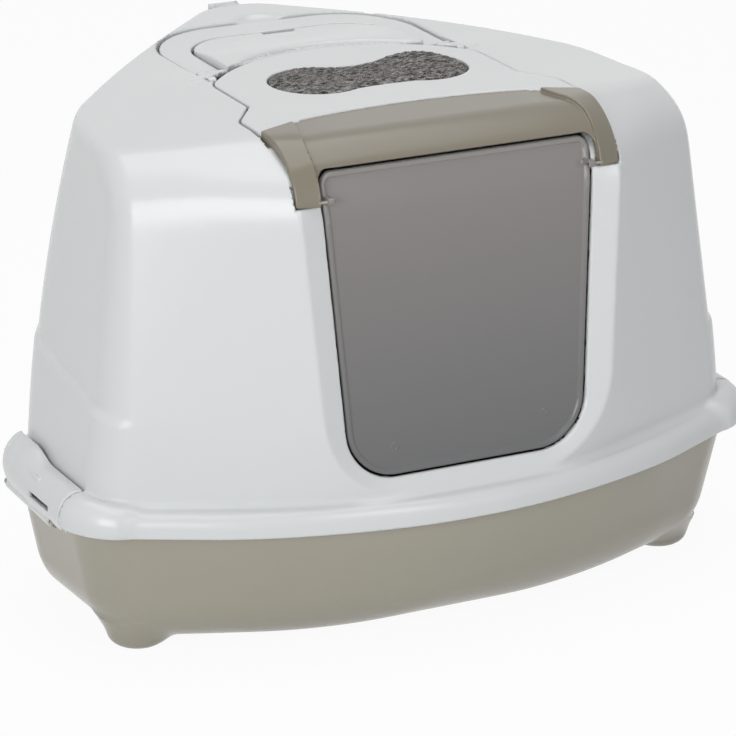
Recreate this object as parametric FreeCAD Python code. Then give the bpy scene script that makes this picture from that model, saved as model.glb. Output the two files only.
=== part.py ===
import FreeCAD, Part
import math
import os

# Corner litter box. Millimetres, Z up, the doorway faces -Y and the right-angled corner points to +Y.
# Heights are measured from the floor.

# Plan of the box, as seven corners: doorway edge, front corner and side corner on each side,
# and one rear corner where two walls meet at a right angle
SKIRT_FRONT_HALF = 105.0
SKIRT_FRONT = 224.0
SKIRT_CORNER_X = 268.0
SKIRT_CORNER_Y = 140.0
SKIRT_SIDE_X = 272.0
SKIRT_SIDE_Y = 8.0
SKIRT_FRONT_BENT = 0.924
SKIRT_CORNER_ROUNDS = [40.0, 60.0, 80.0]
FOOT_FRONT_IN = 21.0
FOOT_FRONT = 208.0
FOOT_CORNER_X = 251.0
FOOT_CORNER_Y = 140.0
FOOT_SIDE_X = 253.0
FOOT_SIDE_Y = 10.0
FOOT_ROUND = [110.0, 36.0, 50.0, 60.0]
KNEE_FRONT_IN = 13.0
KNEE_CORNER_X = 240.5
KNEE_CORNER_Y = 128.5
KNEE_SIDE_X = 242.0
KNEE_SIDE_Y = 12.0
KNEE_ROUND = [90.0, 30.0, 60.0, 56.0]
TOP_FRONT = 185.0
TOP_CORNER_X = 224.0
TOP_CORNER_Y = 110.0
TOP_SIDE_X = 205.0
TOP_SIDE_Y = 16.0
TOP_ROUND = [60.0, 20.0, 90.0, 48.0]

# Hood shell
LEDGE_TOP = 119.0
SKIRT_HEIGHT = 17.0
LEDGE_THICK = 2.6
SKIRT_WALL = 2.6
KNEE_Z = 215.0
ROOF_TOP = 372.5
HOOD_WALL = 3.0
CROWN_RADIUS = 1600.0
ROLL_RADIUS = 42.0
ROLL_DROP = 43.5
ROLL_BITE = 0.15
ROOF_SPARE = 0.05
RUN_GAP = 0.5
PIN_GAP = 0.05

# Doorway and the opening in the roof behind it
DOOR_HALF_TOP = 107.5
DOOR_TAPER = 16.5
DOOR_SHOULDER_DROP = 38.5
DOOR_SILL_RISE = 16.0
DOOR_ROUND = 36.0
ROOF_OPEN_FRONT = 96.0
ROOF_OPEN_LIP = 6.0

# Flip-up visor: white plate behind, rolled taupe front with two arms
ARM_THICK = 3.5
PLATE_REAR = 47.0
PLATE_REAR_DRAW = 3.0
PLATE_REAR_CORNER = 0.0
PLATE_NOTCH_Y = 61.0
PLATE_NOTCH = 9.0
PLATE_TAB_Y = 88.0
ARM_WIDTH = 22.0
ARM_REVEAL = 3.5
ARM_DROP = 38.5
FACE_DROP = 16.5
FACE_THICK = 3.0
SEAM_MIDDLE_BACK = 39.74
SEAM_INNER_BACK = 26.74
SEAM_OUTER_BACK = 6.74
LAP = 8.0
HINGE_Y = 9.0
HINGE_DEPTH = 4.5
HINGE_PIN_RADIUS = 2.0
HINGE_EAR_RADIUS = 4.0
HINGE_EAR_WIDTH = 6.0
HINGE_BOSS_RADIUS = 5.0
HINGE_BOSS_WIDTH = 11.5
HINGE_BOSS_END = 1.0

# Carbon filter in a bone-shaped well of the plate
FILTER_MIDDLE_Y = -28.5
FILTER_MARGIN = 26.0
FILTER_PEAK_X = 45.0
FILTER_PEAK_REAR = 9.0
FILTER_WAIST_REAR = -7.0
FILTER_PEAK_FRONT = -66.0
FILTER_WAIST_FRONT = -60.0
WELL_WALL = 2.0
WELL_DEPTH = 5.0
PAD_GAP = 0.6
PAD_THICK = 8.0
GRID_THICK = 2.0
GRID_SLOT = 5.0
GRID_BAR = 4.0
GRID_RIM = 6.0

# Swing flap
FLAP_THICK = 2.5
FLAP_SIDE_GAP = 2.5
FLAP_SINK = 4.0
FLAP_TOP_DROP = 21.5
FLAP_LIFT = 3.0
FLAP_ROUND = 34.0
FLAP_RIM_WIDTH = 5.0
FLAP_RIM_THICK = 1.5
FLAP_PIVOT_PROUD = 2.21
FLAP_PIVOT_DROP = 35.5
FLAP_PIN_RADIUS = 1.0
FLAP_PIN_DEPTH = 6.0
FLAP_KNUCKLE_RADIUS = 3.0
FLAP_KNUCKLE_WIDTH = 5.0

# Carrying handle, folded down round a raised panel
HANDLE_DRAW = 1.0
HANDLE_GRIP_HALF = 40.0
HANDLE_ROOF_MARGIN = 5.9
HANDLE_LEG = 21.0
HANDLE_BAR = 28.0
HANDLE_THICK = 8.0
HANDLE_SINK = 2.0
HANDLE_BEHIND_HINGE = 21.0
HANDLE_GAP = 1.5
HANDLE_PIN_RADIUS = 2.0
HANDLE_PIN_LENGTH = 17.5
HANDLE_PIN_SUNK = 4.0
MOAT_GAP = 1.0
MOAT_WALL = 3.0
MOAT_FLOOR = 2.5
PANEL_RISE = 4.0
PANEL_BEHIND_PLATE = 10.0
PANEL_HORN_DROP = 4.0
PANEL_POCKET_MARGIN = 16.5
PANEL_POCKET_ROUND = 24.0
SCOOP_HALF = 12.0
SCOOP_REAR = 9.0
SCOOP_FRONT = 7.0

# Tray
TRAY_WALL = 3.0
RIM_GAP = 1.0
TRAY_BASE = 8.0
TRAY_KNEE = 20.0
TRAY_WAIST = 45.0
WAIST_DRAW = 10.0
WAIST_FRONT_DRAW = 15.0
KNEE_DRAW = 24.0
KNEE_FRONT_DRAW = 18.0
BASE_DRAW = 42.0
BASE_FRONT_DRAW = 14.0
SMALLEST_ROUND = 18.0
FOOT_PAD_RADIUS = 15.0
FOOT_PAD_ROOT = 25.0
FOOT_PAD_X = 213.0
FOOT_PAD_Y = -104.0
FOOT_PAD_REAR = 165.0
FOOT_PAD_TOP = 15.0

# Side clips that hold the hood down
CLIP_FRONT = -97.0
CLIP_REAR = -3.0
CLIP_PIVOT_IN = 1.0
CLIP_PIVOT_DROP = 22.0
CLIP_PIN_RADIUS = 2.0
CLIP_BARREL = 4.0
CLIP_LUG = 6.0
CLIP_BULGE_OUT = 6.0
CLIP_BULGE_DROP = 2.0
CLIP_TIP_IN = 6.0
CLIP_TIP_RISE = 14.0
CLIP_WALL = 3.0
CLIP_NIB_REACH = 10.0
CLIP_NIB_THICK = 3.5
CLIP_NIB_GAP = 0.4
CLIP_SLOPE = 9.0

# Values worked out from the ones above
V = FreeCAD.Vector
FAR = 600.0
RIM_TOP = LEDGE_TOP - LEDGE_THICK
SKIRT_LOW = LEDGE_TOP - SKIRT_HEIGHT
DOOR_HALF_LOW = DOOR_HALF_TOP - DOOR_TAPER
DOOR_SHOULDER = ROOF_TOP - DOOR_SHOULDER_DROP
DOOR_SILL = LEDGE_TOP + DOOR_SILL_RISE
ARM_INNER = DOOR_HALF_TOP - ARM_REVEAL
ARM_OUTER = ARM_INNER + ARM_WIDTH
ARM_LOW = ROOF_TOP - ARM_DROP
FACE_LOW = ROOF_TOP - FACE_DROP
TOP_FRONT_HALF = ARM_OUTER
KNEE_FRONT_HALF = ARM_OUTER - KNEE_FRONT_IN
FOOT_FRONT_HALF = ARM_OUTER - FOOT_FRONT_IN
PLATE_HALF = ARM_INNER
PLATE_REAR_HALF = PLATE_HALF - PLATE_REAR_DRAW
PLATE_NOTCH_X = PLATE_HALF + PLATE_NOTCH
ROOF_OPEN_HALF = PLATE_HALF - ROOF_OPEN_LIP
FILTER_END_X = PLATE_HALF - FILTER_MARGIN
ROLL_Z = ROOF_TOP - ROLL_DROP
LEAN = (FOOT_FRONT - TOP_FRONT) / (ROOF_TOP - RIM_TOP)
LEAN_ANGLE = math.atan(LEAN)
KNEE_FRONT = FOOT_FRONT - LEAN * (KNEE_Z - RIM_TOP)
ROLL_Y = LEAN * (ROLL_Z - ROOF_TOP) - TOP_FRONT + ROLL_RADIUS / math.cos(LEAN_ANGLE)
SEAM_MIDDLE = -ROLL_Y - SEAM_MIDDLE_BACK
SEAM_INNER = -ROLL_Y - SEAM_INNER_BACK
SEAM_OUTER = -ROLL_Y - SEAM_OUTER_BACK
ARM_IN = ROLL_RADIUS + RUN_GAP
ARM_OUT = ARM_IN + ARM_THICK
CROWN_FALL = CROWN_RADIUS - math.sqrt(CROWN_RADIUS ** 2 - ROOF_OPEN_HALF ** 2)
PLATE_LOW = ROOF_TOP - CROWN_FALL + RUN_GAP
PLATE_TOP = ROLL_Z + ARM_OUT
HINGE_Z = PLATE_TOP - HINGE_DEPTH
WELL_LOW = PLATE_LOW - WELL_DEPTH
FACE_HALF = DOOR_HALF_TOP - RUN_GAP
SKIRT_TURN = math.atan2(SKIRT_FRONT - SKIRT_CORNER_Y, SKIRT_CORNER_X - SKIRT_FRONT_HALF)
SKIRT_FRONT_ROUND = SKIRT_FRONT_BENT * SKIRT_FRONT_HALF / math.tan(SKIRT_TURN / 2)
SKIRT_ROUND = [SKIRT_FRONT_ROUND] + SKIRT_CORNER_ROUNDS
SKIRT_SQUARE = SKIRT_SIDE_Y + SKIRT_SIDE_X
MID_Y = (SKIRT_SQUARE - SKIRT_ROUND[3] * (math.sqrt(2) - 1) - SKIRT_FRONT) / 2
FLAP_TOP = ROOF_TOP - FLAP_TOP_DROP
FLAP_PIVOT_Z = ROOF_TOP - FLAP_PIVOT_DROP
FLAP_PIVOT_Y = -TOP_FRONT - LEAN * FLAP_PIVOT_DROP - FLAP_PIVOT_PROUD
CLIP_PIVOT_X = SKIRT_SIDE_X - CLIP_PIVOT_IN
CLIP_PIVOT_Z = LEDGE_TOP - CLIP_PIVOT_DROP
CLIP_BULGE = SKIRT_SIDE_X + CLIP_BULGE_OUT
CLIP_BULGE_Z = LEDGE_TOP - CLIP_BULGE_DROP
CLIP_TIP_X = SKIRT_SIDE_X - CLIP_TIP_IN
CLIP_TIP_Z = LEDGE_TOP + CLIP_TIP_RISE
CLIP_LENGTH = CLIP_REAR - CLIP_FRONT
HANDLE_HALF = PLATE_HALF - HANDLE_DRAW
HANDLE_ROUND = HANDLE_HALF - HANDLE_GRIP_HALF
HANDLE_REAR = TOP_SIDE_X + TOP_SIDE_Y - HANDLE_ROOF_MARGIN - HANDLE_HALF + HANDLE_ROUND * (2 - math.sqrt(2))
HANDLE_PIVOT_Y = HINGE_Y + HANDLE_BEHIND_HINGE
HANDLE_MID_Z = ROOF_TOP - HANDLE_SINK
HANDLE_LOW = HANDLE_MID_Z - HANDLE_THICK / 2
PANEL_HALF = HANDLE_HALF - HANDLE_LEG - HANDLE_GAP
PANEL_FRONT = PLATE_REAR + PANEL_BEHIND_PLATE
PANEL_HORN = HANDLE_PIVOT_Y - HANDLE_THICK / 2 - HANDLE_GAP
PANEL_SAG = PANEL_FRONT - PANEL_HORN + PANEL_HORN_DROP
PANEL_FRONT_RADIUS = (PANEL_HALF ** 2 + PANEL_SAG ** 2) / (2 * PANEL_SAG)
PANEL_POCKET_HALF = PANEL_HALF - PANEL_POCKET_MARGIN


def line(a, b):
    return Part.LineSegment(a, b).toShape()


def arc(a, b, c):
    return Part.Arc(a, b, c).toShape()


def plan(front_half, front, corner_x, corner_y, side_x, side_y):
    """Seven plan corners, anticlockwise, with the rear walls at a right angle."""
    right = [(front_half, -front), (corner_x, -corner_y), (side_x, side_y)]
    left = [(-x, y) for x, y in reversed(right)]
    return right + [(0.0, side_x + side_y)] + left


def both_sides(rounds):
    """Corner radii for all seven corners from those of one side and the rear."""
    front, corner, side, rear = rounds
    return [front, corner, side, rear, side, corner, front]


def moved_in(points, d):
    """The same convex outline, moved inwards by d."""
    moved = []
    for i, point in enumerate(points):
        before = V(*points[i - 1], 0)
        here = V(*point, 0)
        after = V(*points[(i + 1) % len(points)], 0)
        u = (here - before).normalize()
        w = (after - here).normalize()
        n1 = V(-u.y, u.x, 0)
        n2 = V(-w.y, w.x, 0)
        q = here + (n1 + n2) * (d / (1 + n1.dot(n2)))
        moved.append((q.x, q.y))
    return moved


def front_drawn(points, d):
    """The outline with its doorway edge pushed back by d and its front corners by half of that."""
    push = [d, d / 2, 0, 0, 0, d / 2, d]
    return [(x, y + p) for (x, y), p in zip(points, push)]


def loop(points, rounds, z):
    """A closed wire at height z with every corner rounded."""
    ends = []
    for i, point in enumerate(points):
        here = V(*point, z)
        u = (V(*points[i - 1], z) - here).normalize()
        w = (V(*points[(i + 1) % len(points)], z) - here).normalize()
        half = math.acos(u.dot(w)) / 2
        reach = rounds[i] / math.tan(half)
        inward = (u + w).normalize()
        middle = here + inward * (rounds[i] / math.sin(half) - rounds[i])
        ends.append((here + u * reach, middle, here + w * reach))
    edges = []
    for i, (start, middle, end) in enumerate(ends):
        edges.append(arc(start, middle, end))
        edges.append(line(end, ends[(i + 1) % len(ends)][0]))
    return Part.Wire(edges)


def prism(points, rounds, low, high):
    return Part.Face(loop(points, rounds, low)).extrude(V(0, 0, high - low))


def outline(points, low, high):
    """A straight-sided block from plan corners."""
    corners = [V(x, y, low) for x, y in points]
    return Part.Face(Part.makePolygon(corners + corners[:1])).extrude(V(0, 0, high - low))


def box(x0, x1, y0, y1, z0, z1):
    return Part.makeBox(x1 - x0, y1 - y0, z1 - z0, V(x0, y0, z0))


def rod_x(x0, x1, y, z, radius):
    return Part.makeCylinder(radius, x1 - x0, V(x0, y, z), V(1, 0, 0))


def rod_y(y0, y1, x, z, radius):
    return Part.makeCylinder(radius, y1 - y0, V(x, y0, z), V(0, 1, 0))


def mirrored(shape):
    return shape.mirror(V(0, 0, 0), V(1, 0, 0))


def pair(shape):
    return shape.fuse(mirrored(shape))


def save(name, shape):
    """Store one piece with the middle of the footprint at the origin."""
    solid = shape.removeSplitter()
    solid.translate(V(0, -MID_Y, 0))
    solid.exportStep("parts/" + name + ".step")


SKIRT = plan(SKIRT_FRONT_HALF, SKIRT_FRONT, SKIRT_CORNER_X, SKIRT_CORNER_Y, SKIRT_SIDE_X, SKIRT_SIDE_Y)
FOOT = plan(FOOT_FRONT_HALF, FOOT_FRONT, FOOT_CORNER_X, FOOT_CORNER_Y, FOOT_SIDE_X, FOOT_SIDE_Y)
KNEE = plan(KNEE_FRONT_HALF, KNEE_FRONT, KNEE_CORNER_X, KNEE_CORNER_Y, KNEE_SIDE_X, KNEE_SIDE_Y)
TOP = plan(TOP_FRONT_HALF, TOP_FRONT, TOP_CORNER_X, TOP_CORNER_Y, TOP_SIDE_X, TOP_SIDE_Y)


def roll_point(radius, degrees):
    """A point on the rolled front, by its angle above the horizontal."""
    a = math.radians(degrees)
    return V(0, ROLL_Y - radius * math.cos(a), ROLL_Z + radius * math.sin(a))


def crown_cutter(depth):
    """What lies above the gently crowned roof, for a roof lowered by depth."""
    radius = CROWN_RADIUS - depth
    apex = V(0, -FAR / 2, ROOF_TOP - depth)
    fall = radius - math.sqrt(radius ** 2 - (FAR / 2) ** 2)
    right = apex + V(FAR / 2, 0, -fall)
    left = apex + V(-FAR / 2, 0, -fall)
    high = V(0, 0, FAR / 5)
    edges = [arc(left, apex, right), line(right, right + high), line(right + high, left + high)]
    edges += [line(left + high, left)]
    return Part.Face(Part.Wire(edges)).extrude(V(0, FAR, 0))


def roll_cutter(depth):
    """What lies outside the rolled edge over the doorway."""
    radius = ROLL_RADIUS - depth
    bite = V(-FAR / 2, ROLL_BITE, -ROLL_BITE)
    start = roll_point(radius, 90) + bite
    middle = roll_point(radius, 45 + math.degrees(LEAN_ANGLE) / 2) + bite
    end = roll_point(radius, math.degrees(LEAN_ANGLE)) + bite
    out = V(end.x, -FAR / 2, end.z)
    high = V(start.x, start.y, ROOF_TOP + FAR / 10)
    corner = V(end.x, -FAR / 2, high.z)
    edges = [arc(start, middle, end), line(end, out), line(out, corner), line(corner, high), line(high, start)]
    return Part.Face(Part.Wire(edges)).extrude(V(FAR, 0, 0))


def hood_form(depth):
    """The hood's solid form above the ledge, with every wall and the roof moved in by depth."""
    spare = (ROOF_TOP - KNEE_Z) * ROOF_SPARE
    over = []
    for (tx, ty), (kx, ky) in zip(TOP, KNEE):
        over.append((tx + (tx - kx) * ROOF_SPARE, ty + (ty - ky) * ROOF_SPARE))
    stages = [(RIM_TOP, FOOT, FOOT_ROUND), (KNEE_Z, KNEE, KNEE_ROUND), (ROOF_TOP + spare, over, TOP_ROUND)]
    sections = []
    for z, points, rounds in stages:
        sections.append(loop(moved_in(points, depth), [r - depth for r in both_sides(rounds)], z))
    form = Part.makeLoft(sections, True, True)
    return form.cut(crown_cutter(depth)).cut(roll_cutter(depth))


def doorway():
    """The doorway, carried up over the roll into the roof."""
    slope = (DOOR_HALF_TOP - DOOR_HALF_LOW) / (DOOR_SHOULDER - DOOR_SILL)
    high = ROOF_TOP + FAR / 10
    corners = [(DOOR_HALF_LOW, DOOR_SILL), (DOOR_HALF_TOP, DOOR_SHOULDER), (DOOR_HALF_TOP, high)]
    lean = math.atan(slope)
    half = (math.pi / 2 + lean) / 2
    reach = DOOR_ROUND / math.tan(half)
    start = V(DOOR_HALF_LOW - reach, 0, DOOR_SILL)
    centre = V(start.x, 0, DOOR_SILL + DOOR_ROUND)
    turn = (math.pi / 2 - lean) / 2
    middle = centre + V(DOOR_ROUND * math.sin(turn), 0, -DOOR_ROUND * math.cos(turn))
    end = V(DOOR_HALF_LOW + reach * math.sin(lean), 0, DOOR_SILL + reach * math.cos(lean))
    right = [V(x, 0, z) for x, z in corners[1:]]
    edges = [line(V(0, 0, DOOR_SILL), start), arc(start, middle, end), line(end, right[0])]
    edges += [line(right[0], right[1]), line(right[1], V(0, 0, high)), line(V(0, 0, high), V(0, 0, DOOR_SILL))]
    half_door = Part.Face(Part.Wire(edges)).extrude(V(0, FAR, 0))
    half_door.translate(V(0, -ROOF_OPEN_FRONT - FAR, 0))
    return pair(half_door)


def roof_opening():
    """The opening under the plate, wide enough behind for the plate's rear edge to dip through it."""
    swing = math.sqrt((PLATE_REAR - HINGE_Y) ** 2 + (PLATE_TOP - HINGE_Z) ** 2)
    rear = HINGE_Y + swing + RUN_GAP
    side_y = HINGE_Y + PLATE_TOP - HINGE_Z + RUN_GAP
    low = ROOF_TOP - FAR / 10
    a = V(ROOF_OPEN_HALF, -ROOF_OPEN_FRONT - RUN_GAP, low)
    b = V(ROOF_OPEN_HALF, side_y, low)
    back = V(0, rear, low)
    c = V(-b.x, b.y, low)
    d = V(-a.x, a.y, low)
    main = Part.Face(Part.Wire([line(d, a), line(a, b), arc(b, back, c), line(c, d)])).extrude(V(0, 0, FAR / 5))
    ear_room = HINGE_EAR_RADIUS + RUN_GAP
    notch = box(ROOF_OPEN_HALF - RUN_GAP, PLATE_HALF + RUN_GAP, HINGE_Y - ear_room, HINGE_Y + ear_room,
                low, low + FAR / 5)
    return main.fuse(notch).fuse(mirrored(notch))


def u_plan(half, front, rear, radius, low, high):
    """A block in plan: straight front edge, two sides, and two rounded rear corners."""
    k = radius * (1 - math.sqrt(0.5))
    p = [V(-half, front, low), V(half, front, low), V(half, rear - radius, low)]
    m1 = V(half - k, rear - k, low)
    q1 = V(half - radius, rear, low)
    q2 = V(radius - half, rear, low)
    m2 = V(k - half, rear - k, low)
    p2 = V(-half, rear - radius, low)
    edges = [line(p[0], p[1]), line(p[1], p[2]), arc(p[2], m1, q1), line(q1, q2), arc(q2, m2, p2), line(p2, p[0])]
    return Part.Face(Part.Wire(edges)).extrude(V(0, 0, high - low))


def handle_ring(gap, low, high):
    """The handle's U in plan, grown by gap on every side."""
    front = HANDLE_PIVOT_Y - HANDLE_THICK / 2 - gap
    outer = u_plan(HANDLE_HALF + gap, front, HANDLE_REAR + gap, HANDLE_ROUND + gap, low, high)
    leg = HANDLE_LEG + 2 * gap
    bar = HANDLE_BAR + 2 * gap
    hole = u_plan(HANDLE_HALF + gap - leg, front - FAR / 2, HANDLE_REAR + gap - bar,
                  HANDLE_ROUND + gap - leg, low, high)
    return outer.cut(hole)


def raised_panel():
    """The low raised panel inside the handle, with two horns forward that carry its pins."""
    rear = HANDLE_REAR - HANDLE_BAR - HANDLE_GAP
    high = ROOF_TOP + PANEL_RISE
    block = u_plan(PANEL_HALF, PANEL_HORN, rear, HANDLE_ROUND - HANDLE_LEG - HANDLE_GAP, HANDLE_LOW, high)
    hollow = Part.makeCylinder(PANEL_FRONT_RADIUS, high, V(0, PANEL_FRONT - PANEL_FRONT_RADIUS, HANDLE_LOW))
    return block.cut(hollow)


def panel_pocket():
    """The hollow under the raised panel, open to the inside of the hood."""
    front = PANEL_FRONT + HOOD_WALL
    rear = HANDLE_REAR - HANDLE_BAR - HANDLE_GAP - SCOOP_FRONT - HOOD_WALL
    low = HANDLE_LOW - FAR / 10
    return u_plan(PANEL_POCKET_HALF, front, rear, PANEL_POCKET_ROUND, low, ROOF_TOP + PANEL_RISE - HOOD_WALL)


def make_hood():
    skirt = prism(SKIRT, both_sides(SKIRT_ROUND), SKIRT_LOW, LEDGE_TOP)
    under = [r - SKIRT_WALL for r in both_sides(SKIRT_ROUND)]
    skirt = skirt.cut(prism(moved_in(SKIRT, SKIRT_WALL), under, SKIRT_LOW - RUN_GAP, RIM_TOP))
    inside = [r - HOOD_WALL for r in both_sides(FOOT_ROUND)]
    hood = skirt.fuse(hood_form(0)).cut(hood_form(HOOD_WALL))
    hood = hood.cut(prism(moved_in(FOOT, HOOD_WALL), inside, SKIRT_LOW, RIM_TOP))

    moat_low = HANDLE_LOW - MOAT_GAP
    moat = handle_ring(HANDLE_GAP + MOAT_WALL, moat_low - MOAT_FLOOR, ROOF_TOP)
    scoop_rear = HANDLE_REAR + HANDLE_GAP + SCOOP_REAR
    scoop_front = HANDLE_REAR - HANDLE_BAR - HANDLE_GAP - SCOOP_FRONT
    scoop_bed = box(-SCOOP_HALF - MOAT_WALL, SCOOP_HALF + MOAT_WALL, scoop_front - MOAT_WALL,
                    scoop_rear + MOAT_WALL, moat_low - MOAT_FLOOR, ROOF_TOP)
    beds = moat.fuse(scoop_bed).common(hood_form(0))
    hood = hood.fuse(beds).fuse(raised_panel()).cut(panel_pocket())

    boss = rod_x(PLATE_HALF + RUN_GAP, PLATE_HALF + RUN_GAP + HINGE_BOSS_WIDTH, HINGE_Y, HINGE_Z,
                 HINGE_BOSS_RADIUS)
    hood = hood.cut(doorway()).cut(roof_opening()).fuse(pair(boss))

    high = ROOF_TOP + FAR / 10
    hood = hood.cut(handle_ring(HANDLE_GAP, moat_low, high))
    hood = hood.cut(box(-SCOOP_HALF, SCOOP_HALF, scoop_front, scoop_rear, moat_low, high))
    hood = hood.cut(pair(visor_pin())).cut(pair(handle_pin()))
    return hood


def visor_pin():
    x0 = PLATE_HALF - RUN_GAP - HINGE_EAR_WIDTH
    x1 = PLATE_HALF + RUN_GAP + HINGE_BOSS_WIDTH - HINGE_BOSS_END
    return rod_x(x0, x1, HINGE_Y, HINGE_Z, HINGE_PIN_RADIUS)


def handle_pin():
    x0 = PANEL_HALF - HANDLE_PIN_SUNK
    return rod_x(x0, x0 + HANDLE_PIN_LENGTH, HANDLE_PIVOT_Y, HANDLE_MID_Z, HANDLE_PIN_RADIUS)


def flap_pin(grow):
    x0 = ARM_INNER - RUN_GAP - FLAP_KNUCKLE_WIDTH
    return rod_x(x0, ARM_INNER + FLAP_PIN_DEPTH, FLAP_PIVOT_Y, FLAP_PIVOT_Z, FLAP_PIN_RADIUS + grow)


def clip_pin(grow):
    return rod_y(CLIP_FRONT, CLIP_REAR, CLIP_PIVOT_X, CLIP_PIVOT_Z, CLIP_PIN_RADIUS + grow)


def bone(grow, low, high):
    """The filter's bone outline, grown by grow."""
    px = FILTER_PEAK_X
    rear = V(px, FILTER_PEAK_REAR + grow, low)
    front = V(px, FILTER_PEAK_FRONT - grow, low)
    rear_left = V(-px, rear.y, low)
    front_left = V(-px, front.y, low)
    end = V(FILTER_END_X + grow, FILTER_MIDDLE_Y, low)
    end_left = V(-end.x, end.y, low)
    edges = [arc(front, end, rear), arc(rear, V(0, FILTER_WAIST_REAR + grow, low), rear_left)]
    edges += [arc(rear_left, end_left, front_left), arc(front_left, V(0, FILTER_WAIST_FRONT - grow, low), front)]
    return Part.Face(Part.Wire(edges)).extrude(V(0, 0, high - low))


def plate_outline(low, high):
    """The visor plate in plan: arched rear edge, notched sides, and a seam arched round the taupe front."""
    rear_corner = V(PLATE_REAR_HALF, PLATE_REAR_CORNER, low)
    right = [(PLATE_HALF, PLATE_REAR_CORNER - PLATE_HALF + PLATE_REAR_HALF), (PLATE_HALF, -PLATE_NOTCH_Y)]
    right += [(PLATE_NOTCH_X, -PLATE_NOTCH_Y), (ARM_OUTER, -PLATE_TAB_Y), (ARM_OUTER, -SEAM_OUTER)]
    right += [(ARM_INNER, -SEAM_INNER)]
    points = [rear_corner] + [V(x, y, low) for x, y in right]
    left = [V(-p.x, p.y, p.z) for p in points]
    edges = [line(a, b) for a, b in zip(points, points[1:])]
    edges += [arc(points[-1], V(0, -SEAM_MIDDLE, low), left[-1])]
    edges += [line(a, b) for a, b in zip(left[::-1], left[-2::-1])]
    edges += [arc(left[0], V(0, PLATE_REAR, low), points[0])]
    return Part.Face(Part.Wire(edges)).extrude(V(0, 0, high - low))


def make_visor_top():
    plate = plate_outline(PLATE_LOW, PLATE_TOP)
    plate = plate.fuse(bone(WELL_WALL, WELL_LOW, PLATE_LOW))
    ear_x = PLATE_HALF - RUN_GAP - HINGE_EAR_WIDTH
    ear = rod_x(ear_x, ear_x + HINGE_EAR_WIDTH, HINGE_Y, HINGE_Z, HINGE_EAR_RADIUS)
    bridge = box(ear_x, ear_x + HINGE_EAR_WIDTH, -HINGE_EAR_WIDTH, HINGE_Y, HINGE_Z, HINGE_Z + HINGE_EAR_RADIUS)
    ear = ear.fuse(bridge)
    hole = rod_x(0, PLATE_HALF, HINGE_Y, HINGE_Z, HINGE_PIN_RADIUS + PIN_GAP)
    plate = plate.fuse(pair(ear.cut(hole)))
    return plate.cut(bone(0, WELL_LOW, PLATE_TOP))


def ring_sector(x0, x1, inner, outer, low_angle):
    """Part of the rolled front between two radii, from low_angle up to the top."""
    mid = (90 + low_angle) / 2
    a, b, c = (roll_point(inner, d) for d in (low_angle, mid, 90))
    d, e, f = (roll_point(outer, d) for d in (90, mid, low_angle))
    face = Part.Face(Part.Wire([arc(a, b, c), line(c, d), arc(d, e, f), line(f, a)]))
    solid = face.extrude(V(x1 - x0, 0, 0))
    solid.translate(V(x0, 0, 0))
    return solid


def make_visor_front():
    arm_angle = math.degrees(math.asin((ARM_LOW - ROLL_Z) / ARM_OUT))
    face_angle = math.degrees(math.asin((FACE_LOW - ROLL_Z) / ARM_IN))
    face_in = ARM_IN - FACE_THICK
    arm = ring_sector(ARM_INNER, ARM_OUTER, ARM_IN, ARM_OUT, arm_angle)
    top = [(ARM_INNER, ROLL_Y), (ARM_OUTER, ROLL_Y), (ARM_OUTER, -SEAM_OUTER), (ARM_INNER, -SEAM_INNER)]
    arm = arm.fuse(outline(top, PLATE_LOW, PLATE_TOP))
    web = ring_sector(ARM_INNER, FACE_HALF, face_in, ARM_IN, arm_angle)
    face = ring_sector(-FACE_HALF, FACE_HALF, face_in, ARM_IN, face_angle)
    shelf = box(-FACE_HALF, FACE_HALF, ROLL_Y, LAP - SEAM_MIDDLE, PLATE_LOW - FACE_THICK, ROLL_Z + ARM_IN)
    shelf = shelf.cut(plate_outline(PLATE_LOW, PLATE_TOP))
    front = face.fuse(shelf).fuse(pair(arm)).fuse(pair(web))
    return front.cut(pair(flap_pin(0)))


def flap_plate(inset, front, back):
    """The flap's leaning plate between two depths behind the panel, drawn in by inset from its own edge."""
    slope = (DOOR_HALF_TOP - DOOR_HALF_LOW) / (DOOR_SHOULDER - DOOR_SILL)
    low_half = DOOR_HALF_LOW + slope * FLAP_LIFT - FLAP_SIDE_GAP
    top_half = ARM_INNER - RUN_GAP
    low = DOOR_SILL + FLAP_LIFT
    points = [(-low_half, low), (low_half, low), (top_half, FLAP_TOP), (-top_half, FLAP_TOP)]
    rounds = [FLAP_ROUND - inset] * 2 + [FLAP_RIM_WIDTH + FLAP_THICK - inset] * 2
    plate = prism(moved_in(points, inset), rounds, 0, back - front)
    plate.rotate(V(0, 0, 0), V(1, 0, 0), 90)
    plate.translate(V(0, back, 0))
    lean = FreeCAD.Matrix()
    lean.A23 = LEAN
    lean.A24 = -TOP_FRONT - LEAN * ROOF_TOP
    return plate.transformGeometry(lean)


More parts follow.
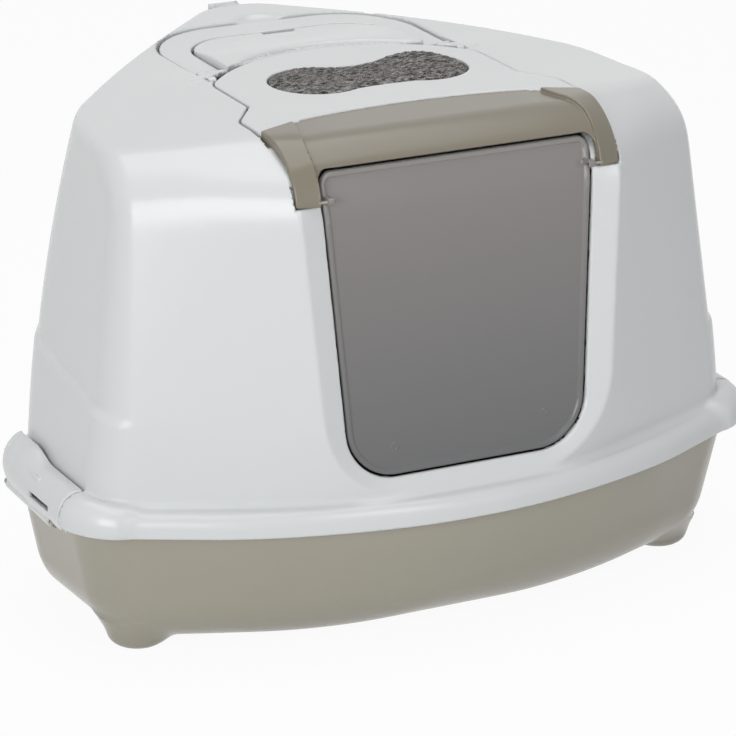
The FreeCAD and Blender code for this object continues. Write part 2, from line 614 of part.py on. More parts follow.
def make_flap():
    flap = flap_plate(0, FLAP_SINK, FLAP_SINK + FLAP_THICK)
    flap = flap.cut(flap_plate(FLAP_RIM_WIDTH, FLAP_SINK, FLAP_SINK + FLAP_THICK - FLAP_RIM_THICK))
    knuckle_x = ARM_INNER - RUN_GAP - FLAP_KNUCKLE_WIDTH
    knuckle = rod_x(knuckle_x, knuckle_x + FLAP_KNUCKLE_WIDTH, FLAP_PIVOT_Y, FLAP_PIVOT_Z, FLAP_KNUCKLE_RADIUS)
    back = LEAN * (FLAP_PIVOT_Z - ROOF_TOP) - TOP_FRONT + FLAP_SINK + FLAP_THICK / 2
    bridge = box(knuckle_x, knuckle_x + FLAP_KNUCKLE_WIDTH, FLAP_PIVOT_Y, back,
                 FLAP_PIVOT_Z - FLAP_KNUCKLE_RADIUS, FLAP_PIVOT_Z + FLAP_KNUCKLE_RADIUS)
    flap = flap.fuse(pair(knuckle.fuse(bridge)))
    return flap.cut(pair(flap_pin(PIN_GAP)))


def make_filter_grid():
    low = WELL_LOW - GRID_THICK
    grid = bone(WELL_WALL, low, WELL_LOW)
    inside = bone(-GRID_RIM, low, WELL_LOW)
    pitch = GRID_SLOT + GRID_BAR
    count = int(2 * FILTER_END_X / pitch)
    slots = []
    for i in range(count):
        x = (i - (count - 1) / 2) * pitch
        slot = box(x - GRID_SLOT / 2, x + GRID_SLOT / 2, FILTER_PEAK_FRONT, FILTER_PEAK_REAR, low, WELL_LOW)
        slots.append(slot.common(inside))
    return grid.cut(Part.makeCompound([s for s in slots if s.Volume > 0]))


def make_handle():
    high = HANDLE_LOW + HANDLE_THICK
    handle = handle_ring(0, HANDLE_LOW, high)
    end = HANDLE_THICK / 2
    square = box(-FAR / 2, FAR / 2, HANDLE_PIVOT_Y - end, HANDLE_PIVOT_Y, HANDLE_LOW, high)
    handle = handle.cut(square)
    leg = HANDLE_HALF - HANDLE_LEG
    handle = handle.fuse(pair(rod_x(leg, HANDLE_HALF, HANDLE_PIVOT_Y, HANDLE_MID_Z, end)))
    x0 = PANEL_HALF - HANDLE_PIN_SUNK
    bore = rod_x(x0, x0 + HANDLE_PIN_LENGTH + PIN_GAP, HANDLE_PIVOT_Y, HANDLE_MID_Z, HANDLE_PIN_RADIUS + PIN_GAP)
    return handle.cut(pair(bore))


def tray_form(depth):
    """The tray's solid form with every wall moved in and the floor raised by depth."""
    rim = moved_in(SKIRT, SKIRT_WALL + RIM_GAP + depth)
    stages = [(RIM_TOP, 0, 0), (TRAY_WAIST, WAIST_DRAW, WAIST_FRONT_DRAW)]
    stages += [(TRAY_KNEE + depth / 2, KNEE_DRAW, KNEE_FRONT_DRAW), (TRAY_BASE + depth, BASE_DRAW, BASE_FRONT_DRAW)]
    sections = []
    for z, draw, front in stages:
        taken = SKIRT_WALL + RIM_GAP + depth + draw
        rounds = [max(r - taken, SMALLEST_ROUND) for r in both_sides(SKIRT_ROUND)]
        sections.append(loop(front_drawn(moved_in(rim, draw), front), rounds, z))
    return Part.makeLoft(sections, True, True)


def make_tray():
    tray = tray_form(0)
    for x, y in ((FOOT_PAD_X, FOOT_PAD_Y), (-FOOT_PAD_X, FOOT_PAD_Y), (0, FOOT_PAD_REAR)):
        tray = tray.fuse(Part.makeCone(FOOT_PAD_RADIUS, FOOT_PAD_ROOT, FOOT_PAD_TOP, V(x, y, 0)))
    reach = CLIP_PIVOT_X - CLIP_BARREL - 2 * TRAY_WALL
    for y in (CLIP_FRONT, CLIP_REAR - CLIP_LUG):
        lug = box(reach, CLIP_PIVOT_X, y, y + CLIP_LUG, CLIP_PIVOT_Z - CLIP_BARREL, CLIP_PIVOT_Z + CLIP_BARREL)
        lug = lug.fuse(rod_y(y, y + CLIP_LUG, CLIP_PIVOT_X, CLIP_PIVOT_Z, CLIP_BARREL))
        tray = tray.fuse(pair(lug))
    return tray.cut(tray_form(TRAY_WALL)).cut(pair(clip_pin(0)))


def make_clip():
    """The right-hand clip: a barrel on the pin, a bulging plate and a nib over the ledge."""
    bulge_in = CLIP_BULGE - CLIP_WALL
    a = V(CLIP_PIVOT_X + CLIP_BARREL, CLIP_FRONT, CLIP_PIVOT_Z)
    b = V(CLIP_BULGE, CLIP_FRONT, CLIP_BULGE_Z)
    c = V(CLIP_TIP_X, CLIP_FRONT, CLIP_TIP_Z)
    d = V(CLIP_TIP_X - CLIP_WALL, CLIP_FRONT, CLIP_TIP_Z - CLIP_WALL)
    e = V(bulge_in, CLIP_FRONT, CLIP_BULGE_Z)
    f = V(CLIP_PIVOT_X + CLIP_BARREL - CLIP_WALL, CLIP_FRONT, CLIP_PIVOT_Z)
    face = Part.Face(Part.Wire([arc(a, b, c), line(c, d), arc(d, e, f), line(f, a)]))
    clip = face.extrude(V(0, CLIP_LENGTH, 0))
    nib_low = LEDGE_TOP + CLIP_NIB_GAP
    nib = box(SKIRT_SIDE_X - CLIP_NIB_REACH, bulge_in, CLIP_FRONT, CLIP_REAR, nib_low, nib_low + CLIP_NIB_THICK)
    clip = clip.fuse(nib)
    barrel_front = CLIP_FRONT + CLIP_LUG + RUN_GAP
    barrel_rear = CLIP_REAR - CLIP_LUG - RUN_GAP
    for y0, y1 in ((CLIP_FRONT, barrel_front), (barrel_rear, CLIP_REAR)):
        room = CLIP_BARREL + RUN_GAP
        clip = clip.cut(rod_y(y0, y1, CLIP_PIVOT_X, CLIP_PIVOT_Z, room))
    clip = clip.fuse(rod_y(barrel_front, barrel_rear, CLIP_PIVOT_X, CLIP_PIVOT_Z, CLIP_BARREL))
    low_front = V(0, CLIP_FRONT, CLIP_TIP_Z - CLIP_SLOPE)
    slope = [low_front, V(0, CLIP_REAR, CLIP_TIP_Z), V(0, CLIP_REAR, CLIP_TIP_Z + CLIP_SLOPE)]
    slope += [V(0, CLIP_FRONT, CLIP_TIP_Z + CLIP_SLOPE), low_front]
    clip = clip.cut(Part.Face(Part.makePolygon(slope)).extrude(V(FAR, 0, 0)))
    return clip.cut(clip_pin(PIN_GAP))


def make_all():
    os.makedirs("parts", exist_ok=True)
    save("tray", make_tray())
    save("hood", make_hood())
    save("visor_top", make_visor_top())
    save("visor_front", make_visor_front())
    save("filter_pad", bone(-PAD_GAP, WELL_LOW, WELL_LOW + PAD_THICK))
    save("filter_grid", make_filter_grid())
    save("flap", make_flap())
    save("handle", make_handle())
    clip = make_clip()
    pins = {"visor_pin": visor_pin(), "handle_pin": handle_pin(), "flap_pin": flap_pin(0), "clip_pin": clip_pin(0)}
    save("clip_right", clip)
    save("clip_left", mirrored(clip))
    for name, pin in pins.items():
        save(name + "_right", pin)
        save(name + "_left", mirrored(pin))


make_all()
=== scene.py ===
import math

import bpy
import numpy as np
from mathutils import Matrix, Vector


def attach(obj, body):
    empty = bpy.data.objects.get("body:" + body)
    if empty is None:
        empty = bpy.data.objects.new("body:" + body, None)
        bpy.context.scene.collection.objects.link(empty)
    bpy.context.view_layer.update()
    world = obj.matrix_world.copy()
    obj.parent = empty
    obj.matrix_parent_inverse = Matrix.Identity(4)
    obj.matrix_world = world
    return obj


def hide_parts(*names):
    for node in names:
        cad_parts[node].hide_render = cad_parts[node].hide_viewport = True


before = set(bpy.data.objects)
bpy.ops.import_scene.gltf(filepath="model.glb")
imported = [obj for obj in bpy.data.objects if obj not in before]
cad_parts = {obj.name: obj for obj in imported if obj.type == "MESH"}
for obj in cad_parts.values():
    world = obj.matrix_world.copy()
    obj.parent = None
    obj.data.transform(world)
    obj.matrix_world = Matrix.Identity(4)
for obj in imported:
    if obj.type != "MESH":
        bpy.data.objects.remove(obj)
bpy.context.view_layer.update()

# Studio: the box stands on a plain white floor and is seen from its front left corner,
# a little from above, through a long lens.
# Large soft lamps light it from the left and from above, and a small one from the front.
bpy.context.scene.view_settings.view_transform = "Standard"

AIM = Vector((0.02051, -0.01143, 0.13544))
DISTANCE = 2.82507
turn, tilt = math.radians(-26.116), math.radians(20.0)
right = Vector((math.cos(turn), math.sin(turn), 0.0))
back = Vector((math.sin(turn) * math.cos(tilt), -math.cos(turn) * math.cos(tilt), math.sin(tilt)))
up = back.cross(right)
eye = AIM + back * DISTANCE
lens = bpy.data.cameras.new("camera")
lens.sensor_width = 36.0
lens.lens = 183.78
lens.clip_end = 50.0
camera = bpy.data.objects.new("camera", lens)
camera.matrix_world = Matrix((
    (right.x, up.x, back.x, eye.x),
    (right.y, up.y, back.y, eye.y),
    (right.z, up.z, back.z, eye.z),
    (0.0, 0.0, 0.0, 1.0),
))
bpy.context.scene.collection.objects.link(camera)
bpy.context.scene.camera = camera


def soft_lamp(name, place, size, power):
    """A square area lamp that looks at the middle of the box."""
    data = bpy.data.lights.new(name, "AREA")
    data.shape = "SQUARE"
    data.size = size
    data.energy = power
    lamp = bpy.data.objects.new(name, data)
    lamp.location = place
    aim = Vector((0.0, 0.0, 0.2)) - Vector(place)
    lamp.rotation_euler = aim.to_track_quat("-Z", "Y").to_euler()
    bpy.context.scene.collection.objects.link(lamp)


soft_lamp("key_lamp", place=(-2.2, -1.9, 1.0), size=1.5, power=34.0)
soft_lamp("top_lamp", place=(0.0, 0.2, 2.6), size=2.4, power=33.0)
soft_lamp("front_lamp", place=(0.05, -1.0, 0.6), size=0.4, power=1.5)


def white_to_the_lens(tree):
    """1 for rays from the camera, from a mirror or through glass, and 0 for light."""
    path = tree.nodes.new("ShaderNodeLightPath")
    first = tree.nodes.new("ShaderNodeMath")
    first.operation = "MAXIMUM"
    tree.links.new(path.outputs["Is Camera Ray"], first.inputs[0])
    tree.links.new(path.outputs["Is Glossy Ray"], first.inputs[1])
    both = tree.nodes.new("ShaderNodeMath")
    both.operation = "MAXIMUM"
    tree.links.new(first.outputs[0], both.inputs[0])
    tree.links.new(path.outputs["Is Transmission Ray"], both.inputs[1])
    return both.outputs[0]


world = bpy.data.worlds.new("studio")
bpy.context.scene.world = world
world.use_nodes = True
tree = world.node_tree
tree.nodes.clear()
glow = tree.nodes.new("ShaderNodeBackground")
glow.inputs["Color"].default_value = (0.93, 0.96, 1.0, 1.0)
glow.inputs["Strength"].default_value = 0.22
seen = tree.nodes.new("ShaderNodeBackground")
seen.inputs["Color"].default_value = (1.0, 1.0, 1.0, 1.0)
mix = tree.nodes.new("ShaderNodeMixShader")
out = tree.nodes.new("ShaderNodeOutputWorld")
tree.links.new(white_to_the_lens(tree), mix.inputs[0])
tree.links.new(glow.outputs[0], mix.inputs[1])
tree.links.new(seen.outputs[0], mix.inputs[2])
tree.links.new(mix.outputs[0], out.inputs["Surface"])

floor_mesh = bpy.data.meshes.new("floor")
FLOOR_HALF, FLOOR_Z = 9.0, -0.0004
corners = [(FLOOR_HALF * a, FLOOR_HALF * b, FLOOR_Z) for a, b in ((-1, -1), (1, -1), (1, 1), (-1, 1))]
floor_mesh.from_pydata(corners, [], [(0, 1, 2, 3)])
floor = bpy.data.objects.new("floor", floor_mesh)
bpy.context.scene.collection.objects.link(floor)
paper = bpy.data.materials.new("white_paper")
paper.use_nodes = True
tree = paper.node_tree
tree.nodes.clear()
matt = tree.nodes.new("ShaderNodeBsdfDiffuse")
matt.inputs["Color"].default_value = (0.86, 0.86, 0.86, 1.0)
bright = tree.nodes.new("ShaderNodeEmission")
bright.inputs["Color"].default_value = (1.0, 1.0, 1.0, 1.0)
share = tree.nodes.new("ShaderNodeMath")
share.operation = "MULTIPLY"
share.inputs[1].default_value = 0.94
mix = tree.nodes.new("ShaderNodeMixShader")
out = tree.nodes.new("ShaderNodeOutputMaterial")
tree.links.new(white_to_the_lens(tree), share.inputs[0])
tree.links.new(share.outputs[0], mix.inputs[0])
tree.links.new(matt.outputs[0], mix.inputs[1])
tree.links.new(bright.outputs[0], mix.inputs[2])
tree.links.new(mix.outputs[0], out.inputs["Surface"])
floor_mesh.materials.append(paper)


# Tray: a deep taupe basin, injection moulded in one piece with three soft feet and a plain rim.
# Its walls lean in towards the bottom, and it has two pairs of lugs for the clips' pins.
# Shapes are distances in mm, negative inside. Their y counts from MIDDLE_Y in front of the middle.
MIDDLE_Y = 11.4315


def rounded(a, b, r):
    """What lies in both a and b, with the edge between them rounded."""
    u = np.maximum(a + r, 0.0)
    v = np.maximum(b + r, 0.0)
    return np.minimum(np.maximum(a, b), -r) + np.sqrt(u * u + v * v)


def joined(a, b, r):
    """What lies in a or b, with a hollow fillet between them."""
    return -rounded(-a, -b, r)


def less(a, b, r):
    """What lies in a and not in b, with the cut's edge rounded."""
    return rounded(a, -b, r)


def block(x, y, z, low, high, r):
    """A box between two corners with rounded edges."""
    a = np.maximum(low[0] - x, x - high[0])
    b = np.maximum(low[1] - y, y - high[1])
    c = np.maximum(low[2] - z, z - high[2])
    return rounded(rounded(a, b, r), c, r)


def ease(low, high, value):
    """0 at low, 1 at high, with a smooth step between."""
    t = np.clip((value - low) / (high - low), 0.0, 1.0)
    return t * t * (3.0 - 2.0 * t)


def surface_points(field, axes):
    """Points and squares of the surface where a sampled field changes sign."""
    inside = field < 0.0
    n = [s - 1 for s in field.shape]
    count = np.zeros(n, np.int8)
    corners = [(i, j, k) for i in (0, 1) for j in (0, 1) for k in (0, 1)]
    for i, j, k in corners:
        count += inside[i:i + n[0], j:j + n[1], k:k + n[2]]
    cells = np.argwhere((count > 0) & (count < 8))
    number = np.full(n, -1, np.int32)
    number[tuple(cells.T)] = np.arange(len(cells))
    values = {}
    for c in corners:
        values[c] = field[tuple((cells + c).T)]
    total = np.zeros((len(cells), 3))
    hits = np.zeros(len(cells))
    for c in corners:
        for axis in range(3):
            if c[axis] == 0:
                e = tuple(1 if a == axis else c[a] for a in range(3))
                crossed = (values[c] < 0.0) != (values[e] < 0.0)
                gap = np.where(crossed, values[c] - values[e], 1.0)
                place = np.tile(np.array(c, float), (len(cells), 1))
                place[:, axis] += values[c] / gap
                total += np.where(crossed[:, None], place, 0.0)
                hits += crossed
    step = np.array([a[1] - a[0] for a in axes])
    points = np.array([a[0] for a in axes]) + (cells + total / hits[:, None]) * step
    squares = []
    for axis in range(3):
        lo = [slice(1, -1)] * 3
        hi = [slice(1, -1)] * 3
        lo[axis] = slice(0, -1)
        hi[axis] = slice(1, None)
        changed = inside[tuple(lo)] != inside[tuple(hi)]
        edge = np.argwhere(changed)
        leaves = inside[tuple(lo)][changed]
        b, c = [a for a in range(3) if a != axis]
        if axis == 1:
            b, c = c, b
        ring = []
        for db, dc in ((0, 0), (1, 0), (1, 1), (0, 1)):
            cell = edge.copy()
            cell[:, b] += db
            cell[:, c] += dc
            ring.append(number[tuple(cell.T)])
        quad = np.stack(ring, 1)
        squares.append(np.where(leaves[:, None], quad, quad[:, ::-1]))
    return points, np.concatenate(squares)


def slope_at(shape, points, reach):
    """The direction in which a shape's distance grows fastest, at each point."""
    grown = []
    for axis in range(3):
        aside = np.zeros(3)
        aside[axis] = reach
        ahead = shape(*(points + aside).T)
        behind = shape(*(points - aside).T)
        grown.append((ahead - behind) / (2.0 * reach))
    return np.stack(grown, 1)


def moulded(name, shape, low, high, step):
    """A mesh of a shape, sampled every step between two corners and drawn onto its surface."""
    axes = [np.arange(a - 1.5 * step, b + 2.5 * step, step) for a, b in zip(low, high)]
    field = np.empty([len(a) for a in axes], np.float32)
    y = axes[1][None, :, None]
    z = axes[2][None, None, :]
    for i in range(0, len(axes[0]), 16):
        x = axes[0][i:i + 16][:, None, None]
        field[i:i + 16] = shape(x, y, z)
    points, squares = surface_points(field, axes)
    for _ in range(2):
        way = slope_at(shape, points, 0.3)
        far = np.clip(shape(*points.T), -step, step) / np.maximum((way * way).sum(1), 0.2)
        points = points - way * np.clip(far, -step / 2, step / 2)[:, None]
    way = slope_at(shape, points, 0.4)
    way /= np.maximum(np.linalg.norm(way, axis=1), 1e-6)[:, None]
    points[:, 1] -= MIDDLE_Y
    mesh = bpy.data.meshes.new(name)
    mesh.from_pydata((points * 0.001).tolist(), [], squares.tolist())
    mesh.polygons.foreach_set("use_smooth", np.ones(len(squares), bool))
    mesh.normals_split_custom_set_from_vertices(way.tolist())
    obj = bpy.data.objects.new(name, mesh)
    bpy.context.scene.collection.objects.link(obj)
    return obj


DIAGONAL = math.sqrt(0.5)


def corner_plan(x, y, front, wing, side, rear, rounds):
    """The outline in plan: front edge, two wings, two sides, and rear walls at a right angle."""
    ax = np.abs(x)
    (wx, wy), (cx, cy), (sx, sy) = wing[0], wing[1], side
    length = np.sqrt((cx - wx) ** 2 + (cy - wy) ** 2)
    wing_d = ((cy - wy) * (ax - wx) - (cx - wx) * (y - wy)) / length
    length = np.sqrt((sx - cx) ** 2 + (sy - cy) ** 2)
    side_d = ((sy - cy) * (ax - cx) - (sx - cx) * (y - cy)) / length
    rear_d = rounded((x + y - rear) * DIAGONAL, (y - x - rear) * DIAGONAL, rounds[3])
    outline = rounded(front - y, wing_d, rounds[0])
    outline = rounded(outline, side_d, rounds[1])
    return rounded(outline, rear_d, rounds[2])


SKIRT_FRONT, SKIRT_REAR = -224.0, 278.2
SKIRT_WING_X = 105.0
SKIRT_CORNER = (268.0, -140.0)
SKIRT_SIDE = (272.0, 8.0)
SKIRT_ROUNDS = (44.0, 21.0, 19.0, 76.0)
IN_WING, IN_CORNER, IN_REAR = 0.25, 0.6, 1.414


def skirt_plan(x, y, d):
    """The outline of the hood's skirt, moved in by d."""
    wing = [
        (SKIRT_WING_X - IN_WING * d, d + SKIRT_FRONT),
        (SKIRT_CORNER[0] - d, IN_CORNER * d + SKIRT_CORNER[1]),
    ]
    side = (SKIRT_SIDE[0] - d, SKIRT_SIDE[1])
    return corner_plan(x, y, d + SKIRT_FRONT, wing, side, SKIRT_REAR - IN_REAR * d, SKIRT_ROUNDS)


JOIN_Z, RIM_Z, UNDERSIDE_Z = 116.4, 114.4, 6.6
RIM_INSET, DRAFT = 3.7, 0.168
TRAY_ROUNDS = (40.0, 32.0, 19.0, 74.0)
WALL = 4.6


def tray_body(x, y, z):
    """The closed form of the basin, with more draft on its front and a round edge below."""
    fall = np.clip(JOIN_Z - z, 0.0, 120.0)
    draw = RIM_INSET + DRAFT * fall
    front_draw = 0.079 * fall * ease(0.0, 70.0, fall) + 0.043 * fall
    front = draw + SKIRT_FRONT + front_draw
    wing = [
        (SKIRT_WING_X - IN_WING * draw, front),
        (SKIRT_CORNER[0] - draw - 0.042 * fall, IN_CORNER * draw + SKIRT_CORNER[1] - 0.2 * front_draw),
    ]
    side = (SKIRT_SIDE[0] - draw, SKIRT_SIDE[1])
    outline = corner_plan(x, y, front, wing, side, SKIRT_REAR - IN_REAR * draw, TRAY_ROUNDS)
    under = 36.0 + 4.0 * ease(-130.0, -190.0, y)
    return rounded(outline, UNDERSIDE_Z - z, under)


FRONT_FOOT, REAR_FOOT = (214.0, -105.0), (0.0, 165.0)
FOOT_RADIUS, FOOT_FLARE = 20.0, 0.3
CLIP_AXIS_X, CLIP_AXIS_Z = 271.0, 97.0
LUG_STARTS, LUG_LONG = (-97.0, -9.0), 6.0


def tray_shape(x, y, z):
    """The basin with its feet, its hollow inside and the lugs for the clips."""
    body = tray_body(x, y, z)
    ax = np.abs(x)
    feet = []
    for foot_x, foot_y in (FRONT_FOOT, REAR_FOOT):
        feet.append(np.sqrt((ax - foot_x) ** 2 + (y - foot_y) ** 2) - FOOT_RADIUS - FOOT_FLARE * z)
    feet = rounded(np.minimum(*feet), 0.2 - z, 7.0)
    feet = np.maximum(feet, z - 22.0)
    solid = joined(rounded(body, z - RIM_Z, 2.2), feet, 8.0)
    axle = np.sqrt((ax - CLIP_AXIS_X) ** 2 + (z - CLIP_AXIS_Z) ** 2)
    for y0 in LUG_STARTS:
        lug = block(ax, y, z, (258.0, y0, 94.6), (CLIP_AXIS_X, y0 + LUG_LONG, 101.0), 1.0)
        barrel = np.maximum(axle - 3.1, np.abs(y - y0 - LUG_LONG / 2) - LUG_LONG / 2)
        solid = np.minimum(solid, np.minimum(lug, barrel))
    return np.maximum(less(solid, body + WALL, 0.8), -z)


def moulded_finish():
    """Slow drifts of shade, and the fine orange peel of a moulded plastic skin."""
    group = bpy.data.node_groups.new("moulded_finish", "ShaderNodeTree")
    colour, number = "NodeSocketColor", "NodeSocketFloat"
    for name, kind in (("Colour", colour), ("Shade", colour), ("Roughness", number)):
        group.interface.new_socket(name, in_out="INPUT", socket_type=kind)
    for name, kind in (("Colour", colour), ("Roughness", number), ("Height", number)):
        group.interface.new_socket(name, in_out="OUTPUT", socket_type=kind)
    nodes, links = group.nodes, group.links
    given = nodes.new("NodeGroupInput")
    result = nodes.new("NodeGroupOutput")
    place = nodes.new("ShaderNodeTexCoord")
    cloud = nodes.new("ShaderNodeTexNoise")
    cloud.inputs["Scale"].default_value = 7.0
    cloud.inputs["Detail"].default_value = 10.0
    cloud.inputs["Roughness"].default_value = 0.62
    tone = nodes.new("ShaderNodeMix")
    tone.data_type = "RGBA"
    gloss = nodes.new("ShaderNodeMapRange")
    gloss.inputs["From Min"].default_value = 0.3
    gloss.inputs["From Max"].default_value = 0.7
    gloss.inputs["To Min"].default_value = 0.88
    gloss.inputs["To Max"].default_value = 1.14
    worn = nodes.new("ShaderNodeMath")
    worn.operation = "MULTIPLY"
    peel = nodes.new("ShaderNodeTexNoise")
    peel.inputs["Scale"].default_value = 900.0
    peel.inputs["Detail"].default_value = 2.0
    for noise in (cloud, peel):
        links.new(place.outputs["Object"], noise.inputs["Vector"])
    links.new(cloud.outputs["Fac"], tone.inputs[0])
    links.new(given.outputs["Colour"], tone.inputs[6])
    links.new(given.outputs["Shade"], tone.inputs[7])
    links.new(cloud.outputs["Fac"], gloss.inputs["Value"])
    links.new(gloss.outputs["Result"], worn.inputs[0])
    links.new(given.outputs["Roughness"], worn.inputs[1])
    links.new(tone.outputs[2], result.inputs["Colour"])
    links.new(worn.outputs[0], result.inputs["Roughness"])
    links.new(peel.outputs["Fac"], result.inputs["Height"])
    return group


finish = moulded_finish()


def plastic(name, colour, shade, roughness, peel):
    """A moulded plastic with its own two shades and gloss."""
    material = bpy.data.materials.new(name)
    material.use_nodes = True
    nodes, links = material.node_tree.nodes, material.node_tree.links
    skin = nodes.new("ShaderNodeGroup")
    skin.node_tree = finish
    skin.inputs["Colour"].default_value = (*colour, 1.0)
    skin.inputs["Shade"].default_value = (*shade, 1.0)
    skin.inputs["Roughness"].default_value = roughness
    bump = nodes.new("ShaderNodeBump")
    bump.inputs["Strength"].default_value = peel
    bump.inputs["Distance"].default_value = 0.0002
    surface = nodes["Principled BSDF"]
    links.new(skin.outputs["Height"], bump.inputs["Height"])
    links.new(skin.outputs["Colour"], surface.inputs["Base Color"])
    links.new(skin.outputs["Roughness"], surface.inputs["Roughness"])
    links.new(bump.outputs["Normal"], surface.inputs["Normal"])
    return material


# Painted light: the tray's taupe is written lighter than the visor's, though both are the same
# plastic. The taupe pins get this lighter copy too.
taupe = plastic("taupe_plastic", (0.388, 0.363, 0.296), (0.36, 0.336, 0.272), 0.24, 0.2)
tray = moulded("tray_basin", tray_shape, (-275.0, -224.0, 0.0), (275.0, 244.0, 115.0), 2.0)
tray.data.materials.append(taupe)
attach(tray, "tray")
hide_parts("tray")


# Hood: a white cover moulded in one piece, whose skirt laps over the tray's rim.
# A doorway with a funnelled border takes up the front, between two wings that lean back into the roof.
# The crowned roof has an opening for the visor and a recess for the handle.
ROOF_Z = 372.5
DOOR_LOW, DOOR_TALL = 133.5, 200.5


def panel_y(z):
    """The leaning plane of the doorway."""
    return 0.0898 * (z - ROOF_Z) - 185.0


def door_outline(ax, z):
    """The doorway seen from the front, open above."""
    half = 92.5 + 13.0 * np.clip((z - DOOR_LOW) / DOOR_TALL, -1.0, 1.0)
    return rounded(ax - half, DOOR_LOW - z, 36.0)


def ridge_x(z):
    """How far from the middle the doorway's border meets the wings."""
    return 113.0 + 0.0755 * (z - 175.0)


heights = (JOIN_Z, 215.0, ROOF_Z)
corner_x = np.polyfit(heights, (251.0, 240.5, 224.0), 2)
corner_y = np.polyfit(heights, (-140.0, -128.5, -110.0), 2)
side_x = np.polyfit(heights, (253.0, 242.0, 205.0), 2)
side_y = np.polyfit(heights, (10.0, 12.0, 16.0), 2)


def roof_fall(x):
    """How far the roof has dropped, from its flat middle towards the sides."""
    return np.maximum(np.abs(x) - 70.0, 0.0) ** 2 / 1520.0


def shoulder(ax, z):
    """How far the front leans back on its way up into the roof, and how steeply."""
    low, power = 300.0, 4.5
    depth = 44.0 + 18.0 * ease(185.0, 120.0, ax)
    tall = 74.0 - roof_fall(ax)
    t = np.clip((z - low) / tall, 0.0, 1.0)
    return depth * t ** power, power * depth * t ** (power - 1.0) / tall


def hood_walls(x, y, z, relief):
    """The hood's walls without a roof, with a shallow step of the given relief on the sides."""
    ax = np.abs(x)
    cx, cy = np.polyval(corner_x, z), np.polyval(corner_y, z)
    sx, sy = np.polyval(side_x, z), np.polyval(side_y, z)
    door = door_outline(ax, z)
    fold = rounded(ax - ridge_x(z), 123.5 - z, 64.0)
    recess, steep = shoulder(ax, z)
    border = panel_y(z) + 2.0 - 0.28 * np.maximum(door, 0.0) + recess - y
    border = border / np.sqrt(1.08 + steep * steep)
    ridge = panel_y(z) - 3.0
    lean = (cy - ridge) / (cx - ridge_x(z))
    wing = (ridge + lean * fold + recess - y) / np.sqrt(1.0 + lean * lean + steep * steep)
    front = rounded(border, wing, 1.2)
    step_z = 199.0 + 0.16 * (y + 17.0)
    step = relief * ease(4.0, -4.0, z - step_z) * ease(-190.0, -120.0, y)
    length = np.sqrt((sx - cx) ** 2 + (sy - cy) ** 2)
    side = ((sy - cy) * (ax - cx) - (sx - cx) * (y - cy)) / length - step
    rise = (z - JOIN_Z) / 256.0
    sides = rounded(front, side, 20.0 - 9.0 * rise)
    rear = sx + sy
    rear_round = 60.0 - 12.0 * rise
    rear_d = rounded((x + y - rear) * DIAGONAL, (y - x - rear) * DIAGONAL, rear_round)
    return rounded(sides, rear_d, 16.0)


def hood_block(x, y, z, d):
    """The closed form of the hood above the skirt, moved in by d."""
    ax = np.abs(x)
    rest = 7.0 - 3.5 * ease(10.0, 80.0, y)
    edge = rest + (3.0 - rest) * ease(-40.0, -75.0, y) - d
    walls = hood_walls(x, y, z, 4.0 if d == 0.0 else 0.0)
    swell = 1.5 * ease(60.0, 15.0, y) * ease(190.0, 115.0, ax)
    return rounded(walls + d, z - ROOF_Z + roof_fall(x) - swell + d, np.maximum(edge, 1.0))


def handle_outline(x, y, grow):
    """The handle's U in plan, grown on every side."""
    ax = np.abs(x)
    outer = rounded(ax - 103.0 - grow, y - 149.0 - grow, 63.0 + grow)
    inner = rounded(ax - 82.0 + grow, y - 121.0 + grow, 42.0 - grow)
    return np.maximum(np.maximum(outer, -inner), 26.0 - grow - y)


PLATE_HALF, ARM_HALF = 105.5, 125.0


def seam(x, y):
    """The arch between the visor's two halves, negative on the front half's side."""
    return np.sqrt(x * x + (y + 529.5) ** 2) - 422.5


def arm_end(ax, y):
    """The line that ends the visor's arms on the roof, negative on their side."""
    return (0.31 * (ax - 96.0) + y + 121.0) / 1.047


def plate_outline(x, y):
    """The visor's rear half in plan, with a tab on each side that reaches the arms."""
    ax = np.abs(x)
    rear = np.sqrt(x * x + (y + 85.0) ** 2) - 132.0
    middle = rounded(np.maximum(ax - PLATE_HALF, -seam(x, y)), rear, 3.0)
    slant = (25.0 * (ax - PLATE_HALF) + 18.0 * (y + 69.0)) / 30.81
    tab = rounded(rounded(ax - ARM_HALF, slant, 2.0), -arm_end(ax, y), 0.5)
    return np.minimum(middle, np.maximum(tab, 90.0 - ax))


ROLL_Y, ROLL_Z = -146.74, 330.5
HINGE_Y, HINGE_Z = 9.0, 370.5
PLATE_BED, HANDLE_BED = 369.4, 363.2


def visor_reach(x, y, z):
    """The height of a point over the axis that the front of the visor is rolled about."""
    flat = z + roof_fall(x) - ROLL_Z
    return np.where(y < ROLL_Y, np.sqrt((y - ROLL_Y) ** 2 + flat ** 2), flat)


LIP_Z, SKIRT_TOP = 100.8, 119.0
BULGE_IN, BULGE_Z, BULGE_REAR = 12.0, 108.0, -113.4


def hood_outside(body, x, y, z):
    """The body with its skirt, and the bulge of the skirt in front of each clip."""
    out = skirt_plan(x, y, 0.0)
    skirt = rounded(out, z - SKIRT_TOP, 11.0)
    along = 0.8 * (SKIRT_CORNER[0] - np.abs(x)) + BULGE_REAR - y
    bulge = np.sqrt((out + BULGE_IN) ** 2 + (z - BULGE_Z) ** 2) - 18.6
    bulge = bulge + 4.5 * np.clip(along / 70.0, 0.0, 1.0) + 6.0 * ease(56.0, 82.0, along)
    bulge = rounded(bulge, y - BULGE_REAR, 1.0)
    return joined(joined(body, skirt, 6.0), bulge, 2.0)


